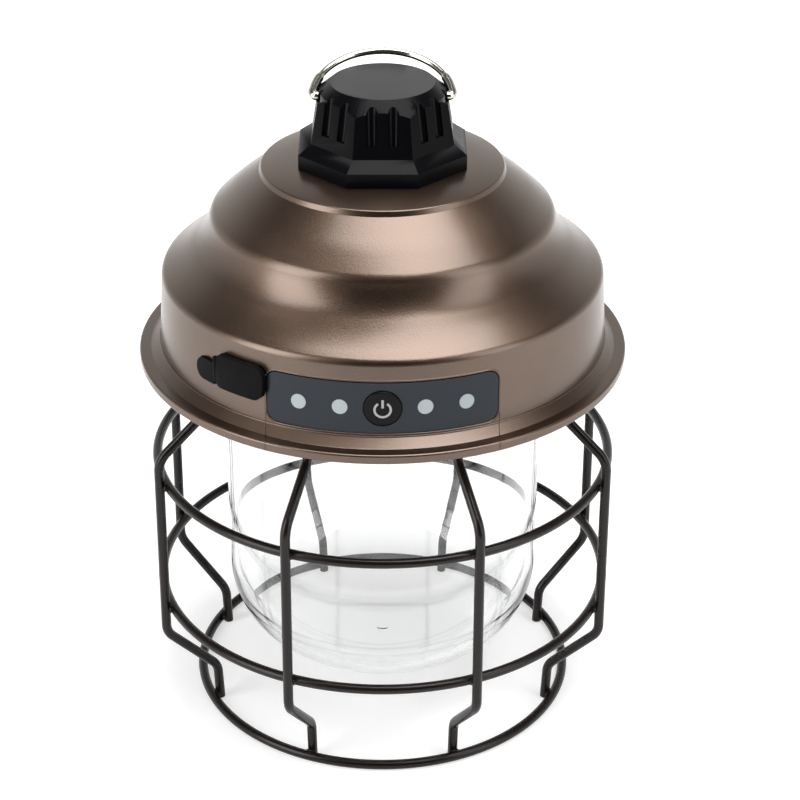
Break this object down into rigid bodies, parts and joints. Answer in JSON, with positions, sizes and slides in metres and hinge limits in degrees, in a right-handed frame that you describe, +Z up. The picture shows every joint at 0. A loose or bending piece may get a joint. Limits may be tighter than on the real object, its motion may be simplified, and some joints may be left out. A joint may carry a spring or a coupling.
{
  "type": "camping lantern",
  "caption": "Rechargeable camping lantern: domed metal head with a knob-shaped cap and hanging ring, clear glass globe inside a bent-wire cage, push button and covered charging port.",
  "frame": {"origin": "centre of the base ring, on the surface the lantern stands on", "axes": "+Z up through the globe and the cap; the control panel faces -Y; +X is the viewer's right"},
  "size_m": [0.124, 0.124, 0.1717],
  "materials": {
    "bronze_paint": "semi-gloss bronze paint on drawn steel",
    "black_plastic": "satin black moulding",
    "button_black": "satin black button",
    "slate_panel": "glossy slate-grey panel",
    "lens_white": "frosted white light guides",
    "cage_coating": "dark bronze powder coat on steel wire",
    "chrome": "polished plating",
    "steel": "zinc-plated steel",
    "black_rubber": "matt rubber",
    "clear_glass": "clear, smooth",
    "circuit_board": "green solder mask",
    "cell_wrap": "shrink sleeve",
    "white_plastic": "white moulding",
    "led_phosphor": "yellow phosphor",
    "opal_plastic": "opal diffuser"
  },
  "bodies": {
    "head": {"head_shell": "bronze_paint", "base_plate": "black_plastic", "cap": "black_plastic", "cap_screw": "steel", "cap_washer": "steel", "control_panel": "slate_panel", "indicator_lens_1": "lens_white", "indicator_lens_2": "lens_white", "indicator_lens_3": "lens_white", "indicator_lens_4": "lens_white", "switch_housing": "steel", "indicator_leds": "white_plastic", "control_board": "circuit_board", "usb_shell": "steel", "usb_tongue": "black_plastic", "usb_board": "circuit_board", "port_cover_tab": "black_rubber", "battery_tray": "black_plastic", "battery_cell_1": "cell_wrap", "battery_cell_2": "cell_wrap", "battery_cell_3": "cell_wrap", "driver_board": "circuit_board", "board_screws": "steel", "shell_screws": "steel", "cage_screws": "steel", "mounting_ring": "cage_coating", "globe_holder": "black_plastic", "globe_gasket": "black_rubber", "globe": "clear_glass", "reflector": "white_plastic", "led_board": "white_plastic", "led_chips": "led_phosphor", "diffuser": "opal_plastic", "upper_hoop": "cage_coating", "lower_hoop": "cage_coating", "base_ring": "cage_coating", "cage_rib_1": "cage_coating", "cage_rib_2": "cage_coating", "cage_rib_3": "cage_coating", "cage_rib_4": "cage_coating", "cage_rib_5": "cage_coating", "cage_rib_6": "cage_coating", "cage_rib_7": "cage_coating", "cage_rib_8": "cage_coating"},
    "ring": {"hanging_ring": "chrome"},
    "button": {"power_button": "button_black", "switch_plunger": "black_plastic"},
    "cover": {"port_cover": "black_rubber"}
  },
  "joints": [
    {"name": "ring_hinge", "type": "hinge", "parent": "head", "child": "ring", "pos_m": [0, 0, 0.16475], "axis": [1, 0, 0], "range_deg": [0, 140]},
    {"name": "power_press", "type": "slide", "parent": "head", "child": "button", "axis": [0, 1, 0], "range_m": [0, 0.0005], "stiffness_N_per_m": 1500},
    {"name": "port_cover_hinge", "type": "hinge", "parent": "head", "child": "cover", "pos_m": [-0.03946, -0.04139, 0.1121], "axis": [0, 0, -1], "range_deg": [0, 100]}
  ]
}
